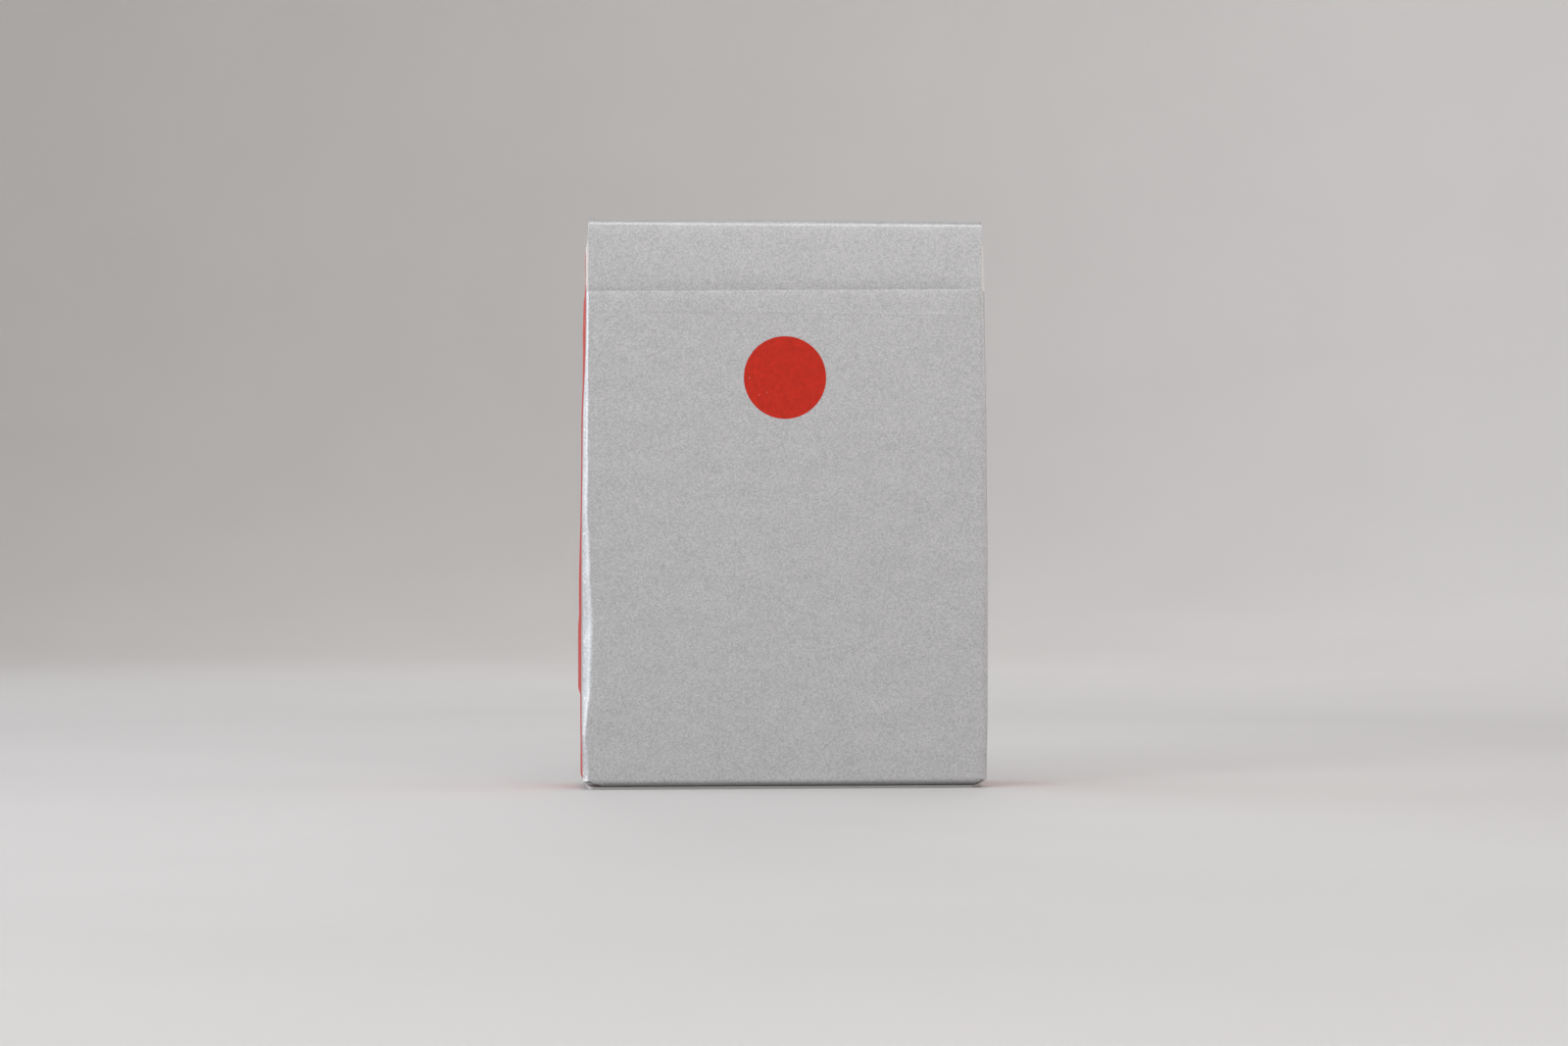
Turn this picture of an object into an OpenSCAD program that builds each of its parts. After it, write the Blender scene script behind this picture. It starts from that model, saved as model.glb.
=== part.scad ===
// Deck of playing cards in a closed tuck box that stands upright.
// Millimetres, +Z up, origin at the middle of the bottom face, hinge side of the box towards -Y.

/* [Case] */
// Outside width of the case
case_w = 66.6; // [65.5:0.1:67]
// Outside depth of the case
case_d = 18.8; // [18.8:0.1:20]
// Outside height of the closed case
case_h = 92.8; // [92:0.1:95]
// Thickness of the folded board
board_t = 0.4; // [0.35:0.01:0.42]
// Outside radius of the folds
fold_r = 0.9; // [0.8:0.05:1]
// Gap between two panels that fold against each other
hinge_gap = 0.1; // [0.06:0.01:0.14]
// Radius of the half-round thumb notch in the rear panel
thumb_r = 10; // [7:0.5:12]
// Width of the glued strip inside the left side
glue_w = 11; // [8:0.5:13]

/* [Top closure] */
// Height of the hinge panel, from the cross crease to the top
hinge_panel_h = 11.4; // [10.6:0.1:12]
// How far the hinge panel and lid stay in from each side
lid_inset = 1.1; // [0.6:0.05:1.2]
// Length of the tuck tongue below the lid fold
tongue_l = 9; // [7:0.5:9]
// How far the tongue stays in from each end of the lid
tongue_inset = 1.4; // [1.2:0.1:3]
// Radius of the tongue's lower corners
tongue_corner_r = 7; // [4:0.5:7]
// Gap between the tongue and the rear panel
tongue_gap = 0.8; // [0.75:0.05:0.9]
// Length of each dust flap, from the side of the case to its free edge
dust_flap_l = 14; // [10:0.5:15]
// Gap between the dust flaps and the lid
dust_gap = 0.15; // [0.1:0.05:0.2]
// Depth of the cut that clears the front corner of each side panel
side_cut_d = 2; // [1.5:0.1:2.5]
// Height of that cut below the top of the case
side_cut_h = 3.8; // [3:0.1:5]

/* [Bottom closure] */
// Outside radius of the bottom fold on the hinge side
bottom_r = 1; // [0.9:0.05:1.1]
// How far the outer bottom flap stays back from the hinge side
flap_setback = 0.25; // [0.1:0.05:0.6]
// Width of the cut at each front corner of the outer bottom flap
flap_cut_w = 1.8; // [1:0.1:3]
// Length of each bottom dust flap
bottom_dust_l = 17; // [12:0.5:24]

/* [Printed disc] */
// Diameter of the printed disc
disc_d = 13.5; // [8:0.1:18]
// Height of the disc's middle below the top of the case
disc_drop = 25.7; // [22:0.1:60]
// Thickness of the printed layer
ink_t = 0.08; // [0.05:0.01:0.12]

/* [Cards] */
// Width of a card
card_w = 63.5; // [62:0.1:63.6]
// Height of a card
card_h = 88.9; // [87:0.1:88.9]
// Spacing of the cards in the deck
card_pitch = 0.29; // [0.27:0.005:0.29]
// Air left between two cards
card_air = 0.01; // [0.005:0.005:0.02]
// Corner radius of a card
card_corner_r = 3.5; // [2.5:0.1:4]
// Gap between the deck and the hinge side
deck_gap = 0.3; // [0.25:0.05:0.4]

/* [Part] */
// Sub-part to draw, or all of them

/* [Hidden] */
$fn = 64;
silver = [0.70, 0.70, 0.71];
red = [0.72, 0.18, 0.15];
white = [0.93, 0.92, 0.90];
through = 1;
half_w = case_w / 2;
half_d = case_d / 2;
flat_x = half_w - fold_r;
flat_y = half_d - fold_r;
crease_z = case_h - hinge_panel_h;
lid_w = case_w - 2 * lid_inset;
lid_under_z = case_h - board_t;
lid_fold_z = case_h - fold_r;
dust_top_z = lid_under_z - dust_gap;
dust_under_z = dust_top_z - board_t;
dust_fold_z = dust_top_z - fold_r;
rear_top_z = case_h - 0.3;
inner_flap_z = board_t;
bottom_dust_z = 2 * board_t;
cards_z = 3 * board_t;
side_low_z = bottom_dust_z + fold_r;
side_top_z = dust_fold_z - hinge_gap;
front_low_z = inner_flap_z + bottom_r;
tongue_y = half_d - board_t - tongue_gap;
tongue_w = lid_w - 2 * tongue_inset;
glue_x = -half_w + board_t;
glue_chamfer = 6;
seam_setback = 0.15;
inner_flap_y = half_d - 1.8;
inner_flap_w = case_w - 3;
outer_flap_w = case_w - 1.6;
flap_cut_d = 4;
dust_front_y = -flat_y + side_cut_d;
dust_rear_y = half_d - 3;
dust_front_taper = 3;
dust_rear_taper = 1.2;
bottom_dust_y = half_d - 1.8;
bottom_dust_taper = 2.5;
deck_y = -half_d + board_t + deck_gap;
joker_count = 2;
number_count = 10;
court_count = 3;
suit_count = number_count + court_count;

// Rectangle between two corners
module plate(low, high) {
    translate(low)
        square(high - low);
}

// Quarter ring of board in the first quadrant, for a fold of the given outside radius
module quarter_bend(radius) {
    intersection() {
        difference() {
            circle(r = radius);
            circle(r = radius - board_t);
        }
        square(radius);
    }
}

// Profile drawn as (y, z) and run along X, centred
module along_x(length) {
    rotate([90, 0, 90])
        linear_extrude(height = length, center = true)
            children();
}

// Profile drawn as (x, z) and run along Y between two depths
module along_y(low, high) {
    translate([0, high, 0])
        rotate([90, 0, 0])
            linear_extrude(height = high - low)
                children();
}

// Profile drawn as (x, y) and run along Z between two heights
module along_z(low, high) {
    translate([0, 0, low])
        linear_extrude(height = high - low)
            children();
}

// Sheet of board that lies in a side wall, drawn as (y, z)
module side_sheet(low_x) {
    translate([low_x, 0, 0])
        rotate([90, 0, 90])
            linear_extrude(height = board_t)
                children();
}

// Outline of the disc on the hinge side
module disc_outline() {
    translate([0, case_h - disc_drop])
        circle(d = disc_d);
}

// Hinge side of the case up to the cross crease
module front_panel() {
    color(silver)
        difference() {
            along_y(-half_d, -half_d + board_t)
                plate([-flat_x, front_low_z], [flat_x, crease_z - hinge_gap / 2]);
            along_y(-half_d - through, -half_d + ink_t)
                disc_outline();
        }
}

// Side of the case with the thumb notch
module rear_panel() {
    color(silver)
        along_y(half_d - board_t, half_d)
            difference() {
                plate([glue_x + fold_r, fold_r], [flat_x, rear_top_z]);
                translate([0, rear_top_z])
                    circle(r = thumb_r);
            }
}

// Flat of a right side wall, its front corner cut away at the top, with the upright front fold
module side_wall(rear_y) {
    cut_z = case_h - side_cut_h;
    side_sheet(half_w - board_t)
        polygon([
            [-flat_y, side_low_z],
            [rear_y, side_low_z],
            [rear_y, side_top_z],
            [-flat_y + side_cut_d, side_top_z],
            [-flat_y, cut_z]
        ]);
    along_z(side_low_z, crease_z - hinge_gap / 2)
        translate([flat_x, -flat_y])
            mirror([0, 1])
                quarter_bend(fold_r);
}

// Left side, which ends in a raw edge over the glued strip
module left_side_panel() {
    color(red)
        mirror([1, 0, 0])
            side_wall(half_d - seam_setback);
}

// Right side, folded round to the rear panel
module right_side_panel() {
    color(red) {
        side_wall(flat_y);
        along_z(side_low_z, side_top_z)
            translate([flat_x, flat_y])
                quarter_bend(fold_r);
    }
}

// Strip folded from the rear panel and glued inside the left side
module glue_flap() {
    front_y = flat_y - glue_w;
    color(white) {
        side_sheet(glue_x)
            polygon([
                [flat_y, side_low_z],
                [flat_y, side_top_z],
                [front_y, side_top_z - glue_chamfer],
                [front_y, side_low_z + glue_chamfer]
            ]);
        along_z(side_low_z, side_top_z)
            translate([glue_x + fold_r, flat_y])
                mirror([1, 0])
                    quarter_bend(fold_r);
    }
}

// Flap folded from the rear panel, which the case stands on
module outer_bottom_flap() {
    front_y = -half_d + flap_setback;
    side_x = outer_flap_w / 2;
    color(silver) {
        along_z(0, board_t)
            polygon([
                [-side_x, flat_y],
                [-side_x, front_y + flap_cut_d],
                [-side_x + flap_cut_w, front_y],
                [side_x - flap_cut_w, front_y],
                [side_x, front_y + flap_cut_d],
                [side_x, flat_y]
            ]);
        along_x(outer_flap_w)
            translate([flat_y, fold_r])
                mirror([0, 1])
                    quarter_bend(fold_r);
    }
}

// Flap folded from the hinge side, glued on the outer flap
module inner_bottom_flap() {
    fold_y = -half_d + bottom_r;
    color(silver)
        along_x(inner_flap_w) {
            plate([fold_y, inner_flap_z], [inner_flap_y, inner_flap_z + board_t]);
            translate([fold_y, front_low_z])
                mirror([1, 0])
                    mirror([0, 1])
                        quarter_bend(bottom_r);
        }
}

// Flap folded in from the right side wall, tapered to its free edge
module bottom_dust_flap() {
    free_x = half_w - bottom_dust_l;
    intersection() {
        along_y(-bottom_dust_y, bottom_dust_y) {
            plate([free_x, bottom_dust_z], [flat_x, bottom_dust_z + board_t]);
            translate([flat_x, side_low_z])
                mirror([0, 1])
                    quarter_bend(fold_r);
        }
        along_z(0, side_low_z + through)
            polygon([
                [half_w + through, -bottom_dust_y],
                [half_w + through, bottom_dust_y],
                [flat_x, bottom_dust_y],
                [free_x, bottom_dust_y - bottom_dust_taper],
                [free_x, -bottom_dust_y + bottom_dust_taper],
                [flat_x, -bottom_dust_y]
            ]);
    }
}

// Pair of flaps between the deck and the glued bottom flaps
module bottom_dust_flaps() {
    color(red) {
        bottom_dust_flap();
        mirror([1, 0, 0])
            bottom_dust_flap();
    }
}

// Disc printed on the hinge side
module printed_disc() {
    color(red)
        along_y(-half_d, -half_d + ink_t)
            disc_outline();
}

// Top of the hinge side, which folds out at the cross crease
module hinge_panel() {
    color(silver)
        along_y(-half_d, -half_d + board_t)
            plate([-lid_w / 2, crease_z + hinge_gap / 2], [lid_w / 2, lid_fold_z - hinge_gap]);
}

// Lid with its two rounded folds
module lid_panel() {
    front_y = -half_d + fold_r;
    rear_y = tongue_y - fold_r;
    color(silver)
        along_x(lid_w) {
            plate([front_y, lid_under_z], [rear_y, case_h]);
            translate([front_y, lid_fold_z])
                mirror([1, 0])
                    quarter_bend(fold_r);
            translate([rear_y, lid_fold_z])
                quarter_bend(fold_r);
        }
}

// Tongue that tucks in behind the deck, its lower corners rounded
module tuck_tongue() {
    top_z = lid_fold_z - hinge_gap;
    low_z = top_z - tongue_l;
    side_x = tongue_w / 2;
    corner_x = side_x - tongue_corner_r;
    corner_z = low_z + tongue_corner_r;
    color(silver)
        along_y(tongue_y - board_t, tongue_y)
            intersection() {
                plate([-side_x, low_z], [side_x, top_z]);
                union() {
                    plate([-side_x, corner_z], [side_x, top_z]);
                    plate([-corner_x, low_z], [corner_x, top_z]);
                    for (side = [-1, 1])
                        translate([side * corner_x, corner_z])
                            circle(r = tongue_corner_r);
                }
            }
}

// Flap folded in from the top of the right side wall, tapered to its free edge
module dust_flap() {
    free_x = half_w - dust_flap_l;
    intersection() {
        along_y(dust_front_y, dust_rear_y) {
            plate([free_x, dust_under_z], [flat_x, dust_top_z]);
            translate([flat_x, dust_fold_z])
                quarter_bend(fold_r);
        }
        along_z(side_top_z - through, case_h)
            polygon([
                [half_w + through, dust_front_y],
                [half_w + through, dust_rear_y],
                [flat_x, dust_rear_y],
                [free_x, dust_rear_y - dust_rear_taper],
                [free_x, dust_front_y + dust_front_taper],
                [flat_x, dust_front_y]
            ]);
    }
}

// Left dust flap under the lid
module left_dust_flap() {
    color(red)
        mirror([1, 0, 0])
            dust_flap();
}

// Right dust flap under the lid
module right_dust_flap() {
    color(red)
        dust_flap();
}

// Outline of a card with rounded corners, standing on the bottom flaps
module card_outline() {
    corner_x = card_w / 2 - card_corner_r;
    top_z = cards_z + card_h;
    plate([-corner_x, cards_z], [corner_x, top_z]);
    plate([-card_w / 2, cards_z + card_corner_r], [card_w / 2, top_z - card_corner_r]);
    for (side = [-1, 1])
        for (z = [cards_z + card_corner_r, top_z - card_corner_r])
            translate([side * corner_x, z])
                circle(r = card_corner_r);
}

// Cards that follow one another in the deck, counted from the hinge side
module card_run(first, count) {
    color(white)
        for (place = [first : first + count - 1])
            along_y(deck_y + place * card_pitch, deck_y + (place + 1) * card_pitch - card_air)
                card_outline();
}

// Two jokers at the hinge side of the deck
module jokers() {
    card_run(0, joker_count);
}

// Spades run from the ace to the king
module spade_number_cards() {
    card_run(joker_count, number_count);
}

module spade_court_cards() {
    card_run(joker_count + number_count, court_count);
}

// Diamonds run from the ace to the king
module diamond_number_cards() {
    card_run(joker_count + suit_count, number_count);
}

module diamond_court_cards() {
    card_run(joker_count + suit_count + number_count, court_count);
}

// Clubs run from the king to the ace
module club_court_cards() {
    card_run(joker_count + 2 * suit_count, court_count);
}

module club_number_cards() {
    card_run(joker_count + 2 * suit_count + court_count, number_count);
}

// Hearts run from the king to the ace
module heart_court_cards() {
    card_run(joker_count + 3 * suit_count, court_count);
}

module heart_number_cards() {
    card_run(joker_count + 3 * suit_count + court_count, number_count);
}

front_panel();
rear_panel();
left_side_panel();
right_side_panel();
glue_flap();
outer_bottom_flap();
inner_bottom_flap();
bottom_dust_flaps();
printed_disc();
hinge_panel();
lid_panel();
tuck_tongue();
left_dust_flap();
right_dust_flap();
jokers();
spade_number_cards();
spade_court_cards();
diamond_number_cards();
diamond_court_cards();
club_court_cards();
club_number_cards();
heart_court_cards();
heart_number_cards();
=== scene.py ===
import math

import bpy
import numpy as np
from mathutils import Matrix, Vector


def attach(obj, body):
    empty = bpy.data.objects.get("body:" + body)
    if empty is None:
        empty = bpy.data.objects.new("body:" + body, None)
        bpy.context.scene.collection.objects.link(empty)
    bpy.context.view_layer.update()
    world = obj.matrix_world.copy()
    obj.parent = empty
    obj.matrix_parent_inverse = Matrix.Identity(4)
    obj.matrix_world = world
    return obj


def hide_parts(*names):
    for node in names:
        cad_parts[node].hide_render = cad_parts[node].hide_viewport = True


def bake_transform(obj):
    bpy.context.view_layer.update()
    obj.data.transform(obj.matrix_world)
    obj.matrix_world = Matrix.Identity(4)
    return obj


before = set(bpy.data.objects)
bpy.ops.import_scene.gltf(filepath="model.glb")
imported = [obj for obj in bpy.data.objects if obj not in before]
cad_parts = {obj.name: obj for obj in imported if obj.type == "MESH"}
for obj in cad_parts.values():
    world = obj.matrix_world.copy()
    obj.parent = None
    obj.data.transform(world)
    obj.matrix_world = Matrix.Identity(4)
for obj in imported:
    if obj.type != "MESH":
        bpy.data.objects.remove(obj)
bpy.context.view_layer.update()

# Metres in a millimetre
MM = 0.001

# Sizes in millimetres, as the solids have them
HALF_W = 33.3
HALF_D = 9.4
CASE_H = 92.8
BOARD = 0.4
FOLD_R = 0.9
FLAT_Y = HALF_D - FOLD_R
CREASE_Z = 81.4
LID_HALF_W = 32.2
LID_FOLD_Z = CASE_H - FOLD_R
LID_REAR_Y = 7.3
TONGUE_LOW_Z = 82.8
TONGUE_HALF_W = 30.8
TONGUE_CORNER_R = 7.0
SIDE_TOP_Z = 91.25
SIDE_CUT_Z = 89.0
SIDE_CUT_D = 2.0
SIDE_SETBACK = 0.15
DUST_FREE_X = 19.3
DUST_Y = (-6.5, 6.4)
DUST_FREE_Y = (-3.5, 5.2)
REAR_TOP_Z = 92.5
THUMB_R = 10.0
GLUE_W = 11.0
GLUE_CHAMFER = 6.0
BASE_FOLD_R = 1.0
FRONT_LOW_Z = BOARD + BASE_FOLD_R
SIDE_LOW_Z = 2 * BOARD + FOLD_R
INNER_FLAP_Y = 7.6
OUTER_FLAP_Y = -9.15
OUTER_FLAP_CUT_D = 4.0
BASE_TUCK_X = 16.3
BASE_TUCK_Y = 7.6
BASE_TUCK_TAPER = 2.5
DISC_R = 6.75
DISC_Z = 67.1
CARD_W = 63.5
CARD_H = 88.9
CARD_LOW_Z = 1.2
CARD_CORNER_R = 3.5
CARD_PITCH = 0.29
CARD_T = 0.28

# Sizes in millimetres where the drawn pieces differ a little from the solids
DUST_TOP_Z = 92.1
DUST_FOLD_R = 0.75
GLUE_INSET = 0.12
RIGHT_FOLD_R = 1.2
OUTER_FLAP_X = (32.9, -32.3)
OUTER_FLAP_CUT = (2.3, 0.8)
OUTER_FLAP_CURL = 0.5
OUTER_FLAP_CURL_X = (31.3, OUTER_FLAP_X[0])
OUTER_FLAP_CURL_Y = (3, -4)
INNER_FLAP_DRAW_IN = (1.9, 0.95)
DISC_X = -0.15
DISC_T = 0.05
DISC_LIFT = 0.012
DECK_X = 0.25
DECK_Y = -8.6
CARD_BEVEL = 0.05
CARD_SHIFT_X = 0.05
CARD_SHIFT_Z = 0.12

# How far the front and rear sheets reach round the corners, from their flat planes
LEFT_SEAM = 2.5
RIGHT_SEAM = 1.35
REAR_SEAM = 1.1

# How the used board of the front, rear, sides and lid has settled
FRONT_INSET = 0.1
FRONT_BOW = 0.1
CREASE_DEPTH = 0.08
CREASE_REACH = 0.85
CREASE_TILT = 0.01
CREASE_END_X = (31.6, 28.5)
PANEL_RISE = 0.18
PANEL_REACH = 1.1
PANEL_LEAN = 0.24
TOP_ROUND = 0.12
TOP_ROUND_H = 2.0
RIDGE_Z = 77.6
RIDGE_TILT = 0.0032
RIDGE_H = 0.014
RIDGE_W = 0.09
RIDGE_END_X = (31.5, 30)
REAR_INSET = 0.04
REAR_BOW = 0.08
SIDE_BOW = 0.05
SIDE_BOW_Y = (-HALF_D, -4)
SIDE_BOW_Z = (84, 76)
LID_INSET = 0.03
LID_DROP = 0.04
LID_BOW = 0.03

# Slow waves of the board: length across, length up and phase. The first of the sides is shifted by side
STRAIGHT = math.inf
FRONT_WAVES = ((11, STRAIGHT, 0.8), (STRAIGHT, 15, 0.4), (7.1, -9.3, 2))
REAR_WAVES = ((13, 21, 0), (STRAIGHT, 12, 0.7))
SIDE_WAVES = ((1, 9.1, 0), (6, 17, 0))
LID_WAVE = (8, 5, 0)

# How far in from a plane a point starts to follow its bows, and where it follows them in full
FRONT_HOLD = (1.4, 0.3)
REAR_HOLD = (1.0, 0.3)
SIDE_HOLD = (2.2, 1)
TOP_HOLD = (0.6, 0.1)

# Radius of the left fold by height, and its waves as height, length and phase
LEFT_FOLD = (
    (0, 1.3), (3, 1.3), (7, 0.85), (10, 0.9), (13, 1.4), (18, 2.1), (28, 2.35), (31, 2.2),
    (34, 1.95), (41, 1.55), (48, 1.1), (56, 1.2), (63, 1.05), (70, 0.55), (80, 0.45),
)
LEFT_FOLD_WAVES = ((0.07, 1.9, 0), (0.05, 0.83, 1))
LEFT_FOLD_WAVE_Z = (66, 50)

# How far the left wall is squeezed in at its rear, by height, and the right wall's share of it
REAR_SQUEEZE = (
    (0, 0.3), (4, 0.3), (7, 0.36), (14.8, 0.36), (15.8, 0.0), (26, 0.0), (28, 0.15), (34, 0.15),
    (42, 0.3), (66, 0.3), (75, 0.05), (80, 0.15), (82.2, 0.45), (82.6, 0.58), (88.5, 0.55), (90.8, 0.62),
)
RIGHT_SQUEEZE = 0.1

# How far the side walls draw in, each as its depth and the heights where it starts and is full
WALL_DRAW_IN = ((0.2, 36, 60), (0.3, 60, 80), (0.45, 87.8, 90.8), (0.15, 12, 1))
LEFT_DRAW_IN = 0.2
LEFT_DRAW_IN_Z = (58, 72)
LEFT_SLIT_DRAW_IN = (0.08, CREASE_Z + 0.8, CREASE_Z - 0.4)
RIGHT_DRAW_IN = (0.22, CREASE_Z, CREASE_Z + 1.4)

# Where the board is worn, and where shade is painted at its base, as shares and the places where they
# start and are full
CORNER_WEAR = 0.5
CORNER_WEAR_R = (4, 0.8)
LEFT_WEAR = 0.15
LEFT_WEAR_X = (-31.8, -32.8)
LEFT_WEAR_Y = (-6.4, -7.2)
LEFT_WEAR_Z = (66, 52)
# Painted shade at the base: its share and heights, and an extra share towards the front with its places
BASE_PAINTED_SHADE = 0.4
BASE_PAINTED_SHADE_Z = (1.7, 0.5)
FRONT_PAINTED_SHADE = 0.35
FRONT_PAINTED_SHADE_Y = (-7.5, -8.6)

# Rows of the sleeve and the hinge strip, as the heights where each step between rows starts
SLEEVE_ROWS = ((SIDE_LOW_Z, 1.0), (12, 0.4), (18, 1.0), (76.8, 0.07), (77.6, 0.4), (79.2, 0.09))
STRIP_ROWS = ((CREASE_Z, 0.1), (CREASE_Z + 2.4, 0.7))

# Other places and steps that the grids of points share
NOTCH_ROWS_Z = 78
NOTCH_MARGIN = 3
SIDE_SHARED_Y = -5.0
ARC_STEPS = 10
SEAM_STEPS = 2
FRONT_STEPS = 64
LID_STEPS = 66

# How grids are joined and meshes are shaded
JOIN_DIGITS = 4
SHARP_ANGLE = math.radians(40)

# Colours as linear red, green and blue
SILVER = (0.47, 0.468, 0.474)
BOARD_RED = (0.45, 0.025, 0.015)
INK_RED = (0.45, 0.0175, 0.006)
LATTICE_RED = (0.5, 0.035, 0.03)
BARE_BOARD = (0.66, 0.64, 0.6)
FLECK_BROWN = (0.36, 0.31, 0.26)
CUT_WHITE = (0.78, 0.75, 0.735)
FIBRE_WHITE = (0.72, 0.71, 0.7)
CARD_WHITE = (0.82, 0.81, 0.78)
CARD_RIM_WHITE = (0.7, 0.69, 0.66)
# Colour of the painted shade at the base of the case
PAINTED_SHADE_GREY = (0.09, 0.088, 0.085)
# Sweep paper with painted light and shade: darker on the floor and on the wall's left, lighter on the
# wall's right
FLOOR_PAINTED_SHADE_GREY = (0.54, 0.525, 0.515)
LEFT_WALL_PAINTED_SHADE_GREY = (0.67, 0.645, 0.63)
RIGHT_WALL_PAINTED_LIGHT_GREY = (0.9, 0.88, 0.865)
WHITE_LIGHT = (1, 1, 1)
SOFT_LIGHT = (1, 0.99, 0.98)
FILL_LIGHT = (1, 0.985, 0.97)
WARM_LIGHT = (1, 0.95, 0.9)
COOL_LIGHT = (0.88, 0.94, 1)
WINDOW_LIGHT = (0.84, 0.92, 1)
SKY_LIGHT = (0.95, 0.97, 1, 1)

# Order of the materials on board and on cards, and the colour sockets of a Mix node
INSIDE, RIM = 1, 2
CARD_BACK, CARD_FACE, CARD_RIM = 0, 1, 2
MIX_FIRST, MIX_SECOND, MIX_RESULT = 6, 7, 2

# How wear spreads from the crest of a fold
CREST_SHARE = 0.4
WEAR_START = 1.0
WEAR_FULL = 1.15

# Backs of the cards: pitch in millimetres, soft edge of a bar, and soft edge of the border in metres
LATTICE_PITCH = 2.4
LATTICE_EDGE = (0.26, 0.36)
BORDER_EDGE = (3.4 * MM, 3.5 * MM)

# Studio: the sweep, the spans of its painted light and shade and the lamps' target in metres, and the
# strength of the sky
SWEEP_FLOOR_R = 0.62
SWEEP_CURVE_R = 0.35
SWEEP_TOP = 1.3
WALL_SHADE_X = (-0.3, 0.3)
FLOOR_EDGE_R = (0.25, 0.7)
LAMP_TARGET = (0, 0, 0.05)
SKY_STRENGTH = 0.38

# Camera: place in metres, turn to the right, lens and sensor in millimetres
CAMERA_PLACE = (-0.0561, -0.657, 0.04338)
CAMERA_TURN = math.radians(4.95)
CAMERA_LENS = 91.5
CAMERA_SENSOR = 36
CAMERA_SHIFT_X = -0.00125

RANDOM_SEED = 7
rng = np.random.default_rng(RANDOM_SEED)


def ease(value, low, high):
    """Smooth step from 0 at low to 1 at high."""
    t = np.clip((value - low) / (high - low), 0, 1)
    return t * t * (3 - 2 * t)


def climb(value, step):
    """Smooth step given as its height, its start and its end."""
    height, start, end = step
    return height * ease(value, start, end)


def swell(first, second, shape):
    """Slow wave of two coordinates, its shape given as its length along each of them and its phase."""
    first_length, second_length, phase = shape
    return np.sin(first / first_length + second / second_length + phase)


def half_width(z, side):
    """Distance of a side wall from the middle, which draws in upwards, under the lid and at the base."""
    both = sum(climb(z, step) for step in WALL_DRAW_IN)
    left = (LEFT_DRAW_IN + climb(z, LEFT_SLIT_DRAW_IN)) * ease(z, *LEFT_DRAW_IN_Z)
    return HALF_W - both - (left if side < 0 else climb(z, RIGHT_DRAW_IN))


def left_radius(z):
    """Radius of the worn left fold, wider and wavy in its lower half."""
    waves = sum(height * np.sin(z / length + phase) for height, length, phase in LEFT_FOLD_WAVES)
    return np.interp(z, *zip(*LEFT_FOLD)) + waves * ease(z, *LEFT_FOLD_WAVE_Z)


def front_depth(x, z):
    """How far the hinge side lies in from its flat plane."""
    level, upright, slanted = FRONT_WAVES
    # The waves add up to between -2 and 2, so the bow goes inwards only
    bow = FRONT_BOW * (2 + swell(x, z, level) * swell(x, z, upright) + swell(x, z, slanted)) / 4
    above = z - CREASE_Z - CREASE_TILT * x
    dip = CREASE_DEPTH * np.exp(np.minimum(above, 0) / CREASE_REACH)
    rise = PANEL_RISE * (1 - np.exp(-np.maximum(above, 0) / PANEL_REACH))
    crease = (dip - rise) * ease(x, *CREASE_END_X)
    lean = PANEL_LEAN * np.clip((z - CREASE_Z) / (CASE_H - CREASE_Z), 0, 1)
    from_ridge = (z - RIDGE_Z + RIDGE_TILT * x) / RIDGE_W
    ridge = RIDGE_H * np.exp(-from_ridge ** 2) * ease(x, *RIDGE_END_X)
    top = TOP_ROUND * np.clip((z - CASE_H) / TOP_ROUND_H + 1, 0, 1) ** 2
    return FRONT_INSET + bow + crease + lean + top - ridge


def rear_depth(x, z):
    """How far the rear lies in from its flat plane."""
    slanted, upright = REAR_WAVES
    return REAR_INSET + REAR_BOW * (1 + swell(x, z, slanted) * swell(x, z, upright))


def side_depth(x, y, z):
    """How far a side wall lies in from its flat plane, more so towards the rear."""
    by_side, slanted = SIDE_WAVES
    bow = SIDE_BOW * (1 + swell(np.sign(x), z, by_side) * swell(y, z, slanted))
    bow = bow * ease(y, *SIDE_BOW_Y) * ease(z, *SIDE_BOW_Z)
    squeeze = np.interp(z, *zip(*REAR_SQUEEZE)) * np.where(x < 0, 1, RIGHT_SQUEEZE)
    return bow + squeeze * np.clip((y + HALF_D) / (2 * HALF_D), 0, 1)


def lid_depth(x, y):
    """How far the lid lies down from its flat plane, more so towards its ends."""
    return LID_INSET + LID_DROP * (x / LID_HALF_W) ** 2 + LID_BOW * (1 + swell(x, y, LID_WAVE))


def held(value, plane, hold):
    """How much a point belongs to a plane, from 0 to 1."""
    start, full = hold
    return ease(value, plane - start, plane - full)


def settle(points):
    """Ideal points of the case moved by the bows and dents of used board."""
    x, y, z = np.moveaxis(np.asarray(points, float), -1, 0)
    from_front = held(-y, HALF_D, FRONT_HOLD) * front_depth(x, z)
    from_rear = held(y, HALF_D, REAR_HOLD) * rear_depth(x, z)
    from_side = held(np.abs(x), HALF_W, SIDE_HOLD) * side_depth(x, y, z)
    from_top = held(z, CASE_H, TOP_HOLD) * lid_depth(x, y)
    return np.stack([x - np.sign(x) * from_side, y + from_front - from_rear, z - from_top], axis=-1)


def arc(centre, radius, start, end, steps=ARC_STEPS):
    """Points on a circle in the plane, angles in degrees."""
    angles = np.radians(np.linspace(start, end, steps + 1))
    return np.array(centre) + radius * np.stack([np.cos(angles), np.sin(angles)], axis=-1)


def line(start, end, steps):
    """Numbers or points in equal steps from start to end."""
    return np.linspace(start, end, steps + 1)


def path(*runs):
    """Runs of points joined end to end, without the doubled points."""
    return np.concatenate([runs[0]] + [run[1:] for run in runs[1:]])


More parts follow.
